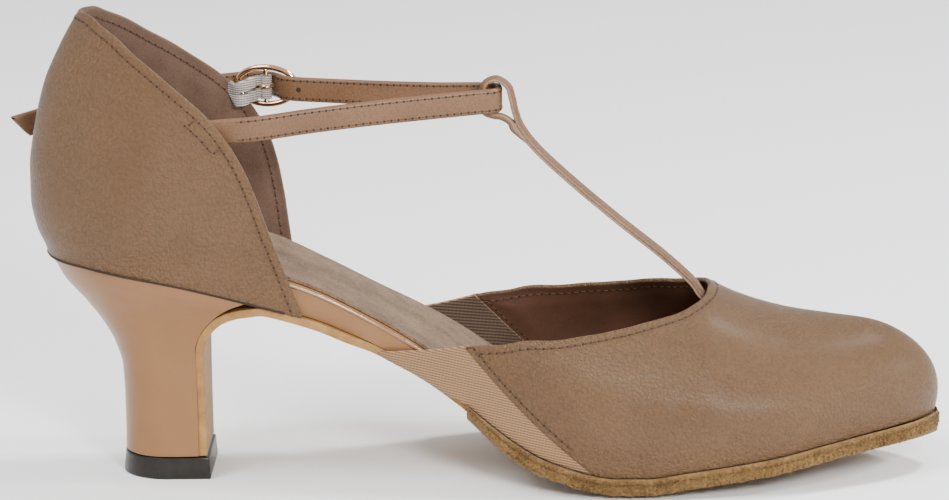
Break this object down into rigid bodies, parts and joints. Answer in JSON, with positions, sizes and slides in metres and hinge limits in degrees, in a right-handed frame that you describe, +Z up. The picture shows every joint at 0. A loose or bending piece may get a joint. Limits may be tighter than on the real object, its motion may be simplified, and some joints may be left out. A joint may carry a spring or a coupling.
{
  "type": "t strap shoe",
  "caption": "Left tan leather t strap shoe for a woman with covered heel, open waist, elastic gores, high back, buckled ankle strap and suede sole",
  "frame": {"origin": "floor point under the middle of the heel's top piece, on the middle line of the heel", "axes": "+X from heel to toe, +Y from the inner (medial) to the outer (lateral) side of the foot, +Z up from the floor"},
  "size_m": [0.2488, 0.0782, 0.1264],
  "materials": {
    "upper_leather": "fine grained tan calf with a soft sheen",
    "strap_leather": "smooth tan leather with stitched edges",
    "cover_leather": "smooth glossy pinkish tan leather",
    "sole_leather": "raw yellowish edge",
    "sole_suede": "rough suede",
    "sock_suede": "soft nap",
    "gore_elastic": "fine ribbed elastic",
    "keeper_elastic": "short ribbed elastic",
    "heel_cap": "matt",
    "buckle_metal": "polished rose gold plate"
  },
  "bodies": {
    "root": {"vamp": "upper_leather", "quarter": "upper_leather", "gore_medial": "gore_elastic", "gore_lateral": "gore_elastic", "insole": "cover_leather", "sock": "sock_suede", "shank_sole": "sole_leather", "forepart_sole": "sole_suede", "heel": "cover_leather", "top_piece": "heel_cap", "ankle_strap": "strap_leather", "t_strap": "strap_leather", "buckle_ring": "buckle_metal", "buckle_prong": "buckle_metal", "buckle_elastic": "keeper_elastic"}
  },
  "joints": []
}
